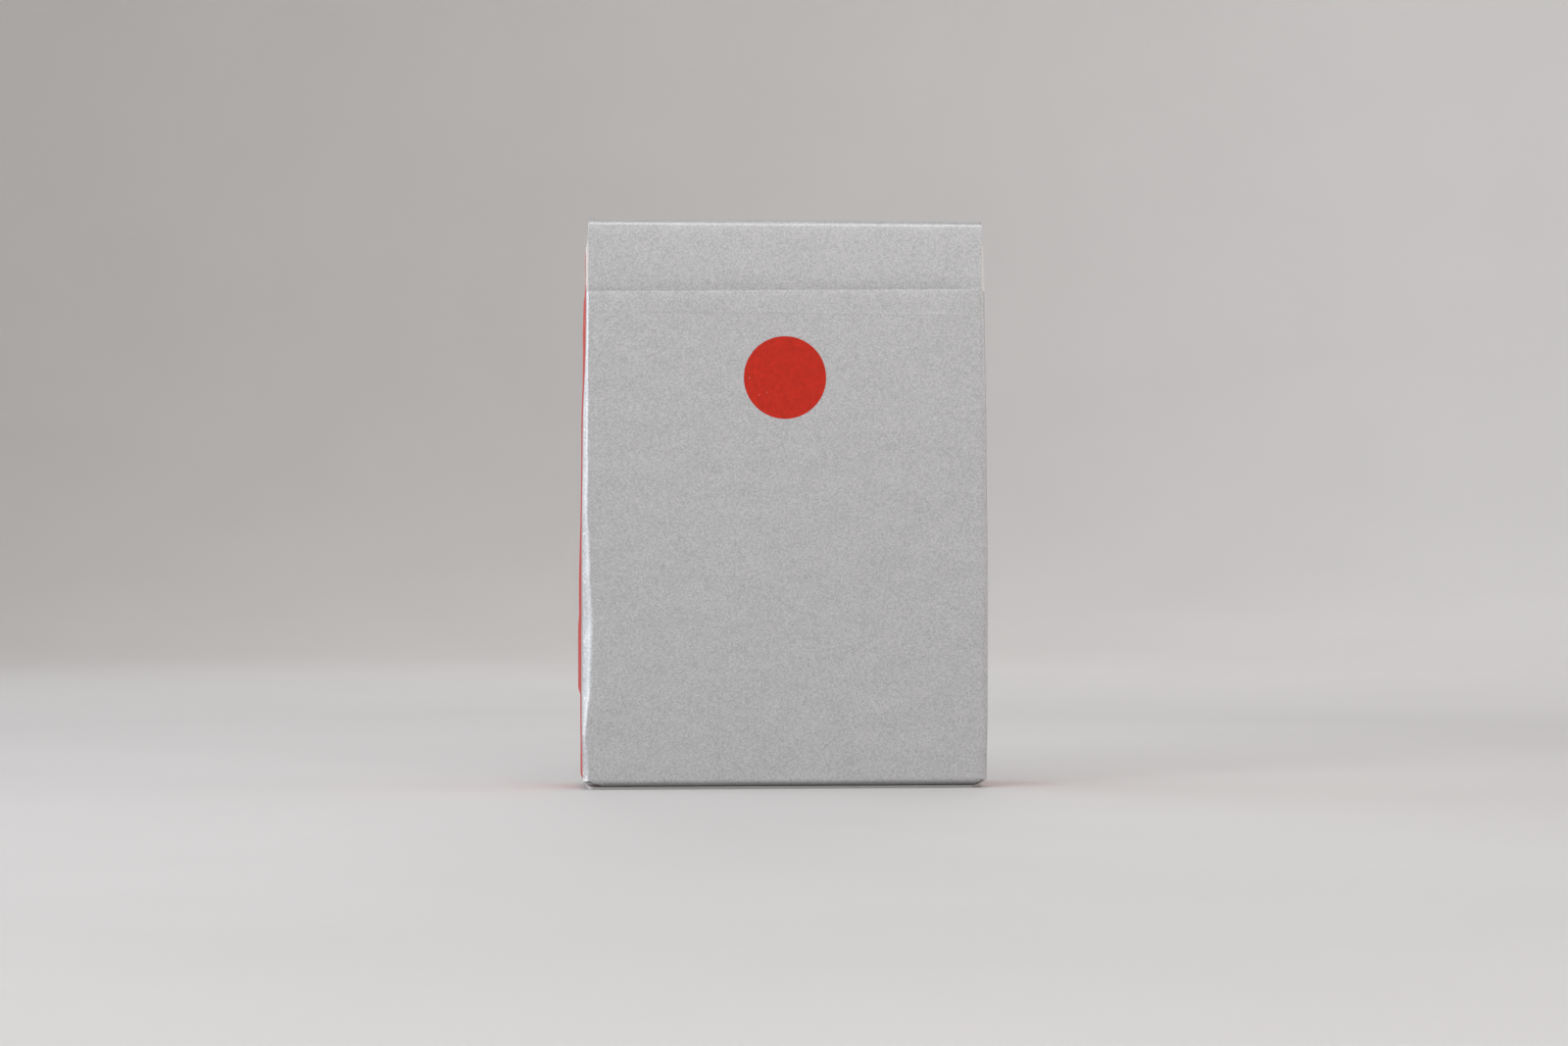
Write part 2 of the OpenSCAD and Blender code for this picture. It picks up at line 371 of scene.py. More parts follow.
def rows_up_to(top, row_steps, last_gap):
    """Heights of rows up to the top, from the heights where each step between them starts."""
    starts, steps = zip(*row_steps)
    ends = (*starts[1:], top - last_gap)
    runs = [np.arange(start, end, step) for start, end, step in zip(starts, ends, steps)]
    return np.concatenate([*runs, [top]])


def across(profile, starts, ends, shares):
    """Grid whose rows follow a (y, z) profile, with points at the given shares from start to end in x."""
    rows = []
    for (y, z), start, end in zip(profile, starts, ends):
        x = start + shares * (end - start)
        rows.append(np.column_stack([x, np.full_like(x, y), np.full_like(x, z)]))
    return np.array(rows)


def facing(rows, side):
    """Grid of a piece at the right or left, turned so that its outer face is outside."""
    grid = np.array(rows)
    return grid if side > 0 else grid[:, ::-1]


def add_mesh(name, points, faces):
    """Object from points in millimetres."""
    mesh = bpy.data.meshes.new(name)
    mesh.from_pydata((np.asarray(points) * MM).tolist(), [], faces)
    mesh.validate()
    piece = bpy.data.objects.new(name, mesh)
    bpy.context.scene.collection.objects.link(piece)
    return piece


def grid_faces(index):
    """Faces between the rows of a grid of point numbers, without those that have no area."""
    faces = []
    for below, above in zip(index, index[1:]):
        for column in range(len(below) - 1):
            ring = [below[column], below[column + 1], above[column + 1], above[column]]
            ring = list(dict.fromkeys(int(i) for i in ring))
            if len(ring) > 2:
                faces.append(ring)
    return faces


def join_grids(grids):
    """Points and faces of grids of points, with the points that they share joined."""
    places = {}
    points = []
    faces = []
    for grid in grids:
        index = np.empty(grid.shape[:2], int)
        for spot in np.ndindex(*index.shape):
            key = tuple(np.round(grid[spot], JOIN_DIGITS))
            if key not in places:
                places[key] = len(points)
                points.append(grid[spot])
            index[spot] = places[key]
        faces.extend(grid_faces(index))
    return np.array(points), faces


def store(mesh, name, values):
    """Keep one number for each point of a mesh."""
    mesh.attributes.new(name, "FLOAT", "POINT").data.foreach_set("value", values.astype(np.float32))


def mark_wear_and_shade(mesh):
    """Store how near each point is to the crest of a fold, and how much painted shade it gets near the
    base.
    """
    x, y, z = np.abs(np.array([v.normal for v in mesh.vertices]).T)
    crest = 2 * np.maximum(np.maximum(x * y, y * z), z * x)
    place = np.array([v.co for v in mesh.vertices]) / MM
    x, y, z = place.T
    corner = np.linalg.norm(place - (-HALF_W, -HALF_D, 0), axis=1)
    left_fold = ease(x, *LEFT_WEAR_X) * ease(y, *LEFT_WEAR_Y) * ease(z, *LEFT_WEAR_Z)
    store(mesh, "fold", crest + CORNER_WEAR * ease(corner, *CORNER_WEAR_R) + LEFT_WEAR * left_fold)
    # Painted shade, darker towards the bottom and towards the front
    store(mesh, "painted_shade", ease(z, *BASE_PAINTED_SHADE_Z) * (BASE_PAINTED_SHADE + FRONT_PAINTED_SHADE * ease(y, *FRONT_PAINTED_SHADE_Y)))


def smooth(mesh):
    """Shade a mesh smooth, with its real edges left sharp."""
    mesh.polygons.foreach_set("use_smooth", np.ones(len(mesh.polygons), bool))
    mesh.set_sharp_from_angle(angle=SHARP_ANGLE)
    mesh.update()


def board_piece(name, grids, print_look, thickness=BOARD):
    """Sheet of board from grids on its outer face, thickened inwards."""
    points, faces = join_grids([settle(grid) for grid in grids])
    piece = add_mesh(name, points, faces)
    for look in (print_look, bare_board, cut_edge):
        piece.data.materials.append(look)
    mark_wear_and_shade(piece.data)
    solid = piece.modifiers.new("board", "SOLIDIFY")
    solid.thickness = thickness * MM
    solid.offset = -1
    solid.use_even_offset = True
    solid.material_offset = INSIDE
    solid.material_offset_rim = RIM
    graph = bpy.context.evaluated_depsgraph_get()
    mesh = bpy.data.meshes.new_from_object(piece.evaluated_get(graph))
    piece.modifiers.clear()
    piece.data = mesh
    smooth(mesh)
    return piece


class Look:
    """Material whose nodes are added one by one."""

    def __init__(self, name, roughness, metallic=0.0):
        self.material = bpy.data.materials.new(name)
        self.material.use_nodes = True
        self.tree = self.material.node_tree
        self.surface = self.tree.nodes["Principled BSDF"]
        self.surface.inputs["Roughness"].default_value = roughness
        self.surface.inputs["Metallic"].default_value = metallic
        self.place = self.add("ShaderNodeTexCoord").outputs["Object"]

    def add(self, kind, sockets=None, **settings):
        """New node with its settings set and its sockets fed."""
        node = self.tree.nodes.new(kind)
        for name, value in settings.items():
            setattr(node, name, value)
        for name, value in (sockets or {}).items():
            self.feed(node.inputs[name], value)
        return node

    def feed(self, socket, value):
        """Link a socket to another one, or set its value."""
        if isinstance(value, bpy.types.NodeSocket):
            self.tree.links.new(value, socket)
        else:
            socket.default_value = value

    def paint(self, name, value):
        """Feed a socket of the surface itself."""
        self.feed(self.surface.inputs[name], value)

    def math(self, operation, first, second=0.0):
        """Result of one step of arithmetic."""
        return self.add("ShaderNodeMath", {0: first, 1: second}, operation=operation).outputs[0]

    def noise(self, size, detail, stretch=(1, 1, 1)):
        """Cloudy value about 0.5, with spots of about the given size in millimetres."""
        scaled = self.add("ShaderNodeVectorMath", {0: self.place, 1: stretch}, operation="MULTIPLY")
        sockets = {"Vector": scaled.outputs[0], "Scale": 1 / (size * MM), "Detail": detail}
        return self.add("ShaderNodeTexNoise", sockets).outputs["Fac"]

    def cells(self, size):
        """Random value of each of many cells of about the given size in millimetres."""
        node = self.add("ShaderNodeTexVoronoi", {"Vector": self.place, "Scale": 1 / (size * MM)})
        return self.add("ShaderNodeSeparateColor", {"Color": node.outputs["Color"]}).outputs["Red"]

    def remap(self, value, span, onto=(0.0, 1.0)):
        """Value brought from one span onto another, and kept inside it."""
        sockets = {"Value": value, "From Min": span[0], "From Max": span[1]}
        sockets.update({"To Min": onto[0], "To Max": onto[1]})
        return self.add("ShaderNodeMapRange", sockets).outputs["Result"]

    def mean(self, first, second, share):
        """Mean of two values, the first weighted by its share."""
        parts = [self.math("MULTIPLY", first, share), self.math("MULTIPLY", second, 1 - share)]
        return self.math("ADD", *parts)

    def mix(self, share, first, second):
        """Mix of two colours, each a socket or a plain colour."""
        node = self.add("ShaderNodeMix", data_type="RGBA")
        self.feed(node.inputs["Factor"], share)
        for socket, value in ((MIX_FIRST, first), (MIX_SECOND, second)):
            colour = value if isinstance(value, bpy.types.NodeSocket) else (*value, 1)
            self.feed(node.inputs[socket], colour)
        return node.outputs[MIX_RESULT]

    def tint(self, colour, value, depth):
        """Colour made darker and lighter by a value about 0.5."""
        dark = tuple(c * (1 - depth) for c in colour)
        light = tuple(min(1, c * (1 + depth)) for c in colour)
        return self.mix(value, dark, light)

    def attribute(self, name):
        """Number that is stored at each point of a mesh."""
        return self.add("ShaderNodeAttribute", attribute_name=name).outputs["Fac"]

    def bump(self, height, depth):
        """Relief of the given depth in millimetres."""
        sockets = {"Height": height, "Distance": depth * MM, "Strength": 1.0}
        self.paint("Normal", self.add("ShaderNodeBump", sockets).outputs["Normal"])

    def scuffs(self, reach):
        """Mask of worn board along the crests of folds."""
        crest = self.math("MULTIPLY", self.attribute("fold"), CREST_SHARE)
        ragged = self.math("ADD", crest, self.noise(size=0.55, detail=4))
        return self.remap(ragged, span=(WEAR_START - reach, WEAR_FULL - reach))


def printed_look(name, colour, metallic, roughness, gloss, worn):
    """Coated print on board, with fine grain, faint clouds, white wear along folds and edges, and painted
    shade at its base.
    """
    look = Look(name, roughness, metallic)
    look.paint("Specular IOR Level", gloss)
    grain = look.cells(size=0.16)
    clouds = look.noise(size=3.2, detail=3, stretch=(0.5, 1, 1))
    scuffs = look.scuffs(worn)
    speckled = look.tint(colour, look.mean(grain, clouds, share=0.75), depth=0.25)
    worn_print = look.mix(scuffs, speckled, FIBRE_WHITE)
    # Painted shade darkens the print near the base
    look.paint("Base Color", look.mix(look.attribute("painted_shade"), worn_print, PAINTED_SHADE_GREY))
    if metallic:
        look.paint("Metallic", look.remap(scuffs, span=(0.0, 1.0), onto=(metallic, 0.0)))
    grain_roughness = 0.06
    worn_roughness = 0.3
    about = (roughness - grain_roughness, roughness + grain_roughness)
    rough = look.remap(grain, span=(0.0, 1.0), onto=about)
    look.paint("Roughness", look.math("ADD", rough, look.math("MULTIPLY", scuffs, worn_roughness)))
    look.bump(look.noise(size=0.25, detail=3), depth=0.015)
    return look.material


def bare_board_look():
    """Uncoated inside of the board, with fibre flecks."""
    look = Look("bare_board", roughness=0.85)
    fibres = look.noise(size=0.5, detail=4, stretch=(1, 1, 0.35))
    flecks = look.remap(look.noise(size=0.4, detail=2), span=(0.66, 0.72), onto=(0.0, 0.35))
    plain = look.tint(BARE_BOARD, fibres, depth=0.18)
    look.paint("Base Color", look.mix(flecks, plain, FLECK_BROWN))
    look.bump(fibres, depth=0.03)
    return look.material


def cut_edge_look():
    """White cut edge of the board, with painted shade where it stands on the table."""
    look = Look("cut_edge", roughness=0.85)
    fibres = look.noise(size=0.18, detail=3)
    clean = look.tint(CUT_WHITE, fibres, depth=0.25)
    # Painted shade darkens the cut edge near the base
    look.paint("Base Color", look.mix(look.attribute("painted_shade"), clean, PAINTED_SHADE_GREY))
    look.bump(fibres, depth=0.03)
    return look.material


def ink_look():
    """Matte red print, faintly mottled, with a few pale specks."""
    look = Look("red_ink", roughness=0.55)
    grain = look.noise(size=0.28, detail=3)
    clouds = look.noise(size=0.9, detail=3)
    inked = look.tint(INK_RED, look.mean(look.cells(size=0.16), clouds, share=0.25), depth=0.36)
    specks = look.remap(look.cells(size=0.15), span=(0.9991, 0.9993), onto=(0.0, 0.22))
    look.paint("Specular IOR Level", 0.2)
    look.paint("Base Color", look.mix(specks, inked, FIBRE_WHITE))
    look.paint("Roughness", look.remap(grain, span=(0.3, 0.7), onto=(0.48, 0.62)))
    look.bump(grain, depth=0.012)
    return look.material


def card_face_look():
    """Coated card with a fine embossed linen."""
    look = Look("card_face", roughness=0.4)
    clouds = look.noise(size=6, detail=2)
    linen = look.noise(size=0.25, detail=1, stretch=(1, 1, 0.5))
    look.paint("Base Color", look.tint(CARD_WHITE, clouds, depth=0.04))
    look.paint("Roughness", look.remap(linen, span=(0.3, 0.7), onto=(0.34, 0.46)))
    look.bump(linen, depth=0.008)
    return look.material


def card_edge_look():
    """Cut edges of the cards, a little grey in places."""
    look = Look("card_edge", roughness=0.7)
    streaks = look.noise(size=1.2, detail=4, stretch=(1, 6, 1))
    look.paint("Base Color", look.tint(CARD_RIM_WHITE, streaks, depth=0.22))
    look.bump(streaks, depth=0.02)
    return look.material


def lattice_mask(look, x, z):
    """Mask of the crossed bars on the back of a card, inside its border."""
    bars = []
    for operation in ("ADD", "SUBTRACT"):
        slant = look.math("MULTIPLY", look.math(operation, x, z), math.pi / (LATTICE_PITCH * MM))
        bars.append(look.math("ABSOLUTE", look.math("SINE", slant)))
    lattice = look.remap(look.math("MINIMUM", *bars), span=LATTICE_EDGE)
    from_middle_z = look.math("SUBTRACT", z, (CARD_LOW_Z + CARD_H / 2) * MM)
    from_edge_x = look.math("SUBTRACT", CARD_W / 2 * MM, look.math("ABSOLUTE", x))
    from_edge_z = look.math("SUBTRACT", CARD_H / 2 * MM, look.math("ABSOLUTE", from_middle_z))
    border = look.remap(look.math("MINIMUM", from_edge_x, from_edge_z), span=BORDER_EDGE)
    return look.math("MULTIPLY", lattice, border)


def card_back_look():
    """Red lattice with a white border."""
    look = Look("card_back", roughness=0.4)
    split = look.add("ShaderNodeSeparateXYZ", {"Vector": look.place})
    mask = lattice_mask(look, split.outputs["X"], split.outputs["Z"])
    red = look.tint(LATTICE_RED, look.noise(size=0.3, detail=2), depth=0.15)
    white = look.tint(CARD_WHITE, look.noise(size=5, detail=2), depth=0.04)
    look.paint("Base Color", look.mix(mask, white, red))
    look.bump(look.noise(size=0.25, detail=1, stretch=(1, 1, 0.5)), depth=0.008)
    return look.material


def floor_look():
    """Matte pale paper of the studio sweep, with painted light and shade: its floor painted darker than
    its wall, and its wall painted lighter on the right.
    """
    look = Look("studio_paper", roughness=0.9)
    clouds = look.noise(size=60, detail=2)
    split = look.add("ShaderNodeSeparateXYZ", {"Vector": look.place})
    # Painted shade on the floor and the wall's left, painted light on the wall's right
    shades = (FLOOR_PAINTED_SHADE_GREY, LEFT_WALL_PAINTED_SHADE_GREY, RIGHT_WALL_PAINTED_LIGHT_GREY)
    floor, left, right = [look.tint(shade, clouds, depth=0.03) for shade in shades]
    wall = look.mix(look.remap(split.outputs["X"], span=WALL_SHADE_X), left, right)
    away = look.add("ShaderNodeVectorMath", {0: look.place}, operation="LENGTH").outputs["Value"]
    look.paint("Base Color", look.mix(look.remap(away, span=FLOOR_EDGE_R), floor, wall))
    look.bump(look.noise(size=1.5, detail=2), depth=0.02)
    return look.material


silver_print = printed_look("silver_print", SILVER, metallic=0.55, roughness=0.4, gloss=0.5, worn=0.0)
red_print = printed_look("red_print", BOARD_RED, metallic=0.0, roughness=0.55, gloss=0.25, worn=-0.05)
bare_board = bare_board_look()
cut_edge = cut_edge_look()
red_ink = ink_look()
card_back = card_back_look()
card_face = card_face_look()
card_edge = card_edge_look()


def sleeve_heights():
    """Heights of the rows of the sleeve, close together where the board has fine relief."""
    return rows_up_to(CREASE_Z, SLEEVE_ROWS, last_gap=0.05)


def front_row(z):
    """Line round the hinge side at one height, from seam to seam."""
    left_x, right_x = -half_width(z, -1), half_width(z, 1)
    left, right = left_radius(z), RIGHT_FOLD_R
    turn_left = arc((left_x + left, left - HALF_D), left, 180, 270)
    turn_right = arc((right_x - right, right - HALF_D), right, 270, 360)
    xy = path(
        line((left_x, LEFT_SEAM - HALF_D), turn_left[0], SEAM_STEPS),
        turn_left,
        line(turn_left[-1], turn_right[0], FRONT_STEPS),
        turn_right,
        line(turn_right[-1], (right_x, RIGHT_SEAM - HALF_D), SEAM_STEPS),
    )
    return np.column_stack([xy, np.full(len(xy), z)])


def hinge_side():
    """Front of the case with its upright folds and the bottom flap that continues from it."""
    heights = np.concatenate([[FRONT_LOW_Z], sleeve_heights()])
    wall = np.array([front_row(z) for z in heights])
    turned = SEAM_STEPS + ARC_STEPS
    left, right = wall[0, turned, 0], wall[0, -1 - turned, 0]
    fold_y = BASE_FOLD_R - HALF_D
    profile = path(
        line((INNER_FLAP_Y, BOARD), (fold_y, BOARD), steps=12),
        arc((fold_y, FRONT_LOW_Z), BASE_FOLD_R, 270, 180),
    )
    at_fold = ease(profile[:, 1], FRONT_LOW_Z, BOARD)
    draw_left, draw_right = INNER_FLAP_DRAW_IN
    shares = line(0, 1, FRONT_STEPS)
    flap = across(profile, left + draw_left * at_fold, right - draw_right * at_fold, shares)
    return board_piece("carton_front", [flap, wall], silver_print)


def side_row(side, z, ys):
    """Points along a side wall at one height."""
    x = side * half_width(z, side)
    return [(x, y, z) for y in ys]


def side_wall(name, side):
    """Side of the case, its upper front corner cut away."""
    seam_y = (LEFT_SEAM if side < 0 else RIGHT_SEAM) - HALF_D
    rear_y = HALF_D - (SIDE_SETBACK if side < 0 else REAR_SEAM)
    ahead = line(seam_y, SIDE_SHARED_Y, SEAM_STEPS)
    behind = line(SIDE_SHARED_Y, rear_y, steps=10)
    lower = [side_row(side, z, path(ahead, behind)) for z in sleeve_heights()]
    raw_y = FOLD_R - HALF_D
    stops = np.concatenate([[0], (ahead - raw_y) / (SIDE_SHARED_Y - raw_y)])
    upper = []
    for z in path(line(CREASE_Z, SIDE_CUT_Z, steps=7), line(SIDE_CUT_Z, SIDE_TOP_Z, steps=3)):
        cut = SIDE_CUT_D * np.clip((z - SIDE_CUT_Z) / (SIDE_TOP_Z - SIDE_CUT_Z), 0, 1)
        front_y = raw_y + cut
        ys = front_y + stops * (SIDE_SHARED_Y - front_y)
        upper.append(side_row(side, z, path(ys, behind)))
    return board_piece(name, [facing(rows, side) for rows in (lower, upper)], red_print)


def rear_row(z):
    """Points across the rear at one height, closer together where the thumb notch is."""
    right_x = half_width(z, 1) - FOLD_R
    left_x = GLUE_INSET - half_width(z, -1) + FOLD_R
    notch_x = THUMB_R * np.cos(line(0, math.pi, steps=32))
    xs = path(line(right_x, THUMB_R, steps=12), notch_x, line(-THUMB_R, left_x, steps=12))
    return [(x, HALF_D, z) for x in xs]


def right_turn_row(z):
    """Points round the fold between the right wall and the rear at one height."""
    wall_x = half_width(z, 1)
    along = line((wall_x, HALF_D - REAR_SEAM), (wall_x, FLAT_Y), SEAM_STEPS)
    turn = path(along, arc((wall_x - FOLD_R, FLAT_Y), FOLD_R, 0, 90))
    return [(x, y, z) for x, y in turn]


def glued_row(z):
    """Points round the fold between the rear and the strip glued inside the left wall."""
    strip_x = GLUE_INSET - half_width(z, -1)
    from_end = min(z - SIDE_LOW_Z, SIDE_TOP_Z - z)
    front_y = FLAT_Y - GLUE_W * np.clip(from_end / GLUE_CHAMFER, 0, 1)
    inwards = line((strip_x, FLAT_Y), (strip_x, front_y), steps=6)
    turn = path(arc((strip_x + FOLD_R, FLAT_Y), FOLD_R, 90, 180), inwards)
    return [(x, y, z) for x, y in turn]


def notched(grid):
    """Rear grid with its top drawn down to the half-round thumb notch."""
    x, z = grid[..., 0], grid[..., 2]
    start_z = REAR_TOP_Z - THUMB_R - NOTCH_MARGIN
    top_z = REAR_TOP_Z - np.sqrt(np.maximum(0, THUMB_R ** 2 - x ** 2))
    share = np.clip((z - start_z) / (REAR_TOP_Z - start_z), 0, 1)
    cut = grid.copy()
    cut[..., 2] = np.where(z > start_z, start_z + share * (top_z - start_z), z)
    return cut


def outer_flap(first_row):
    """Outer bottom flap that continues from the rear, with unequal corner cuts and a curled corner."""
    cut_y = OUTER_FLAP_Y + OUTER_FLAP_CUT_D
    profile = path(
        line((OUTER_FLAP_Y, 0), (cut_y, 0), steps=4),
        line((cut_y, 0), (FLAT_Y, 0), steps=10),
        arc((FLAT_Y, FOLD_R), FOLD_R, 270, 360),
    )
    corner = np.clip(1 - (profile[:, 0] - OUTER_FLAP_Y) / OUTER_FLAP_CUT_D, 0, 1)
    in_fold = profile[:, 1] > 0
    right_x, left_x = first_row[0], first_row[-1]
    right = np.where(in_fold, right_x, OUTER_FLAP_X[0]) - OUTER_FLAP_CUT[0] * corner
    left = np.where(in_fold, left_x, OUTER_FLAP_X[1]) + OUTER_FLAP_CUT[1] * corner
    flap = across(profile, right, left, (first_row - right_x) / (left_x - right_x))
    curl = ease(flap[..., 0], *OUTER_FLAP_CURL_X) * ease(flap[..., 1], *OUTER_FLAP_CURL_Y)
    flap[..., 2] += OUTER_FLAP_CURL * curl
    return flap


def rear_side():
    """Rear of the case with the thumb notch, the glued strip and the outer bottom flap."""
    heights = path(
        line(FOLD_R, NOTCH_ROWS_Z, steps=40),
        line(NOTCH_ROWS_Z, SIDE_TOP_Z, steps=15),
        line(SIDE_TOP_Z, REAR_TOP_Z, steps=3),
    )
    beside_walls = [z for z in heights if SIDE_LOW_Z <= z <= SIDE_TOP_Z]
    wall = notched(np.array([rear_row(z) for z in heights]))
    right_turn = np.array([right_turn_row(z) for z in beside_walls])
    glued = np.array([glued_row(z) for z in beside_walls])
    grids = [outer_flap(wall[0, :, 0]), wall, right_turn, glued]
    return board_piece("carton_rear", grids, silver_print)


def base_tucks():
    """Pair of flaps folded in from the sides between the deck and the bottom flaps."""
    grids = []
    for side in (1, -1):
        flat_x = half_width(SIDE_LOW_Z, side) - FOLD_R
        profile = path(
            line((BASE_TUCK_X, 2 * BOARD), (flat_x, 2 * BOARD), steps=8),
            arc((flat_x, SIDE_LOW_Z), FOLD_R, 270, 360),
        )
        taper = BASE_TUCK_TAPER * np.clip((flat_x - profile[:, 0]) / (flat_x - BASE_TUCK_X), 0, 1)
        rows = []
        for (x, z), inset in zip(profile, taper):
            ys = line(inset - BASE_TUCK_Y, BASE_TUCK_Y - inset, steps=8)
            rows.append([(side * x, y, z) for y in ys])
        grids.append(facing(rows, side))
    return board_piece("base_tucks", grids, red_print)


def lid_width_piece(name, profile):
    """Silver piece as wide as the lid that follows a (y, z) profile."""
    edge = np.full(len(profile), LID_HALF_W)
    return board_piece(name, [across(profile, -edge, edge, line(0, 1, LID_STEPS))], silver_print)


def hinge_strip():
    """Strip between the crease and the lid."""
    heights = rows_up_to(LID_FOLD_Z, STRIP_ROWS, last_gap=0.3)
    return lid_width_piece("hinge_strip", np.column_stack([np.full_like(heights, -HALF_D), heights]))


def lid_top():
    """Lid with its two rounded folds."""
    front_y = FOLD_R - HALF_D
    profile = path(
        arc((front_y, LID_FOLD_Z), FOLD_R, 180, 90),
        line((front_y, CASE_H), (LID_REAR_Y, CASE_H), steps=16),
        arc((LID_REAR_Y, LID_FOLD_Z), FOLD_R, 90, 0),
    )
    return lid_width_piece("lid_top", profile)


def tongue_tuck():
    """Tongue behind the deck, its lower corners rounded."""
    corner_z = TONGUE_LOW_Z + TONGUE_CORNER_R
    round_z = corner_z - TONGUE_CORNER_R * np.sin(line(0, math.pi / 2, steps=15))
    heights = path(line(LID_FOLD_Z, corner_z, steps=8), round_z)
    drop = np.clip(corner_z - heights, 0, TONGUE_CORNER_R)
    half = TONGUE_HALF_W - TONGUE_CORNER_R + np.sqrt(TONGUE_CORNER_R ** 2 - drop ** 2)
    profile = np.column_stack([np.full_like(heights, LID_REAR_Y + FOLD_R), heights])
    return board_piece("tongue_tuck", [across(profile, -half, half, line(0, 1, steps=48))], silver_print)


def dust_tuck(name, side):
    """Flap folded in from the top of a side wall, tapered to its free edge."""
    half = half_width(SIDE_TOP_Z, side)
    flat_x = half - DUST_FOLD_R
    fold_z = DUST_TOP_Z - DUST_FOLD_R
    profile = path(
        line((half, SIDE_TOP_Z), (half, fold_z), steps=1),
        arc((flat_x, fold_z), DUST_FOLD_R, 0, 90),
        line((flat_x, DUST_TOP_Z), (DUST_FREE_X, DUST_TOP_Z), steps=10),
    )
    share = np.clip((flat_x - profile[:, 0]) / (flat_x - DUST_FREE_X), 0, 1)
    rows = []
    for (x, z), part in zip(profile, share):
        front_y = DUST_Y[0] + part * (DUST_FREE_Y[0] - DUST_Y[0])
        rear_y = DUST_Y[1] + part * (DUST_FREE_Y[1] - DUST_Y[1])
        rows.append([(side * x, y, z) for y in line(front_y, rear_y, steps=12)])
    return board_piece(name, [facing(rows, side)], red_print)


def disc_print():
    """Disc printed on the hinge side, which follows the board."""
    turns = line(0, 2 * math.pi, steps=72)
    rings = []
    for r in line(0, DISC_R, steps=8):
        rings.append([(DISC_X - r * math.cos(t), -HALF_D, DISC_Z + r * math.sin(t)) for t in turns])
    piece = board_piece("disc_print", [np.array(rings)], red_ink, DISC_T)
    piece.data.transform(Matrix.Translation((0, -DISC_LIFT * MM, 0)))
    for index in range(len(piece.data.materials)):
        piece.data.materials[index] = red_ink
    return piece


def card_outline(inset):
    """Outline of a card in (x, z), counted from its middle."""
    radius = CARD_CORNER_R - inset
    corner_x = CARD_W / 2 - CARD_CORNER_R
    corner_z = CARD_H / 2 - CARD_CORNER_R
    corners = [
        arc((sx * corner_x, sz * corner_z), radius, start, start + 90, steps=6)
        for sx, sz, start in ((1, 1, 0), (-1, 1, 90), (-1, -1, 180), (1, -1, 270))
    ]
    return np.concatenate(corners)


def card_rings(place):
    """Four outlines of a card from its back to its face, a little out of line with its neighbours."""
    back_y = DECK_Y + place * CARD_PITCH
    face_y = back_y + CARD_T
    middle_x = DECK_X + rng.uniform(-CARD_SHIFT_X, CARD_SHIFT_X)
    middle_z = CARD_LOW_Z + CARD_H / 2 + rng.uniform(0, CARD_SHIFT_Z)
    insets = (
        (back_y, CARD_BEVEL),
        (back_y + CARD_BEVEL, 0),
        (face_y - CARD_BEVEL, 0),
        (face_y, CARD_BEVEL),
    )
    return [[(x + middle_x, y, z + middle_z) for x, z in card_outline(inset)] for y, inset in insets]


def card_run(name, first, count):
    """Cards that follow one another in the deck."""
    points, faces, looks = [], [], []
    for place in range(first, first + count):
        rings = card_rings(place)
        size = len(rings[0])
        starts = [len(points) + ring * size for ring in range(len(rings))]
        points.extend(spot for ring in rings for spot in ring)
        faces.append([starts[0] + i for i in range(size)])
        looks.append(CARD_BACK)
        for here, beyond in zip(starts, starts[1:]):
            for i in range(size):
                after = (i + 1) % size
                faces.append([here + after, here + i, beyond + i, beyond + after])
                looks.append(CARD_RIM)
        faces.append([starts[-1] + i for i in reversed(range(size))])
        looks.append(CARD_FACE)
    piece = add_mesh(name, points, faces)
    for look in (card_back, card_face, card_edge):
        piece.data.materials.append(look)
    piece.data.polygons.foreach_set("material_index", looks)
    smooth(piece.data)
    return piece


def fit(piece, slot, *nodes):
    """Hide the solids of the given nodes and give back the piece; slot is not used."""
    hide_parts(*nodes)
    return piece


def build_case():
    """Sleeve, bottom flaps and disc, which stay still."""
    still = [
        (hinge_side(), "silver_board", ("front_panel", "inner_bottom_flap")),
        (side_wall("carton_left", -1), "red_board", ("left_side_panel",)),
        (side_wall("carton_right", 1), "red_board", ("right_side_panel",)),
        (rear_side(), "silver_board", ("rear_panel", "glue_flap", "outer_bottom_flap")),
        (base_tucks(), "red_board", ("bottom_dust_flaps",)),
        (disc_print(), "red_ink", ("printed_disc",)),
    ]
    for piece, slot, nodes in still:
        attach(fit(piece, slot, *nodes), "carton")


def build_closure():
    """Hinge strip, lid, tongue and dust flaps, each with its place baked into its points."""
    strip = fit(hinge_strip(), "silver_board", "hinge_panel")
    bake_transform(strip)
    lid = fit(lid_top(), "silver_board", "lid_panel")
    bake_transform(lid)
    tongue = fit(tongue_tuck(), "silver_board", "tuck_tongue")
    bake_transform(tongue)
    for name, side, body in (("left_tuck", -1, "left_flap"), ("right_tuck", 1, "right_flap")):
        tuck = fit(dust_tuck(name, side), "red_board", name.replace("tuck", "dust_flap"))
        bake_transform(tuck)


def build_deck():
    """Runs of cards from the hinge side to the rear, named after the nodes that they stand for."""
    runs = (
        ("jokers", 2), ("spade_number_cards", 10), ("spade_court_cards", 3),
        ("diamond_number_cards", 10), ("diamond_court_cards", 3), ("club_court_cards", 3),
        ("club_number_cards", 10), ("heart_court_cards", 3), ("heart_number_cards", 10),
    )
    first = 0
    for node, count in runs:
        piece = card_run("printed_" + node, first, count)
        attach(fit(piece, "card_stock", node), "deck")
        first += count


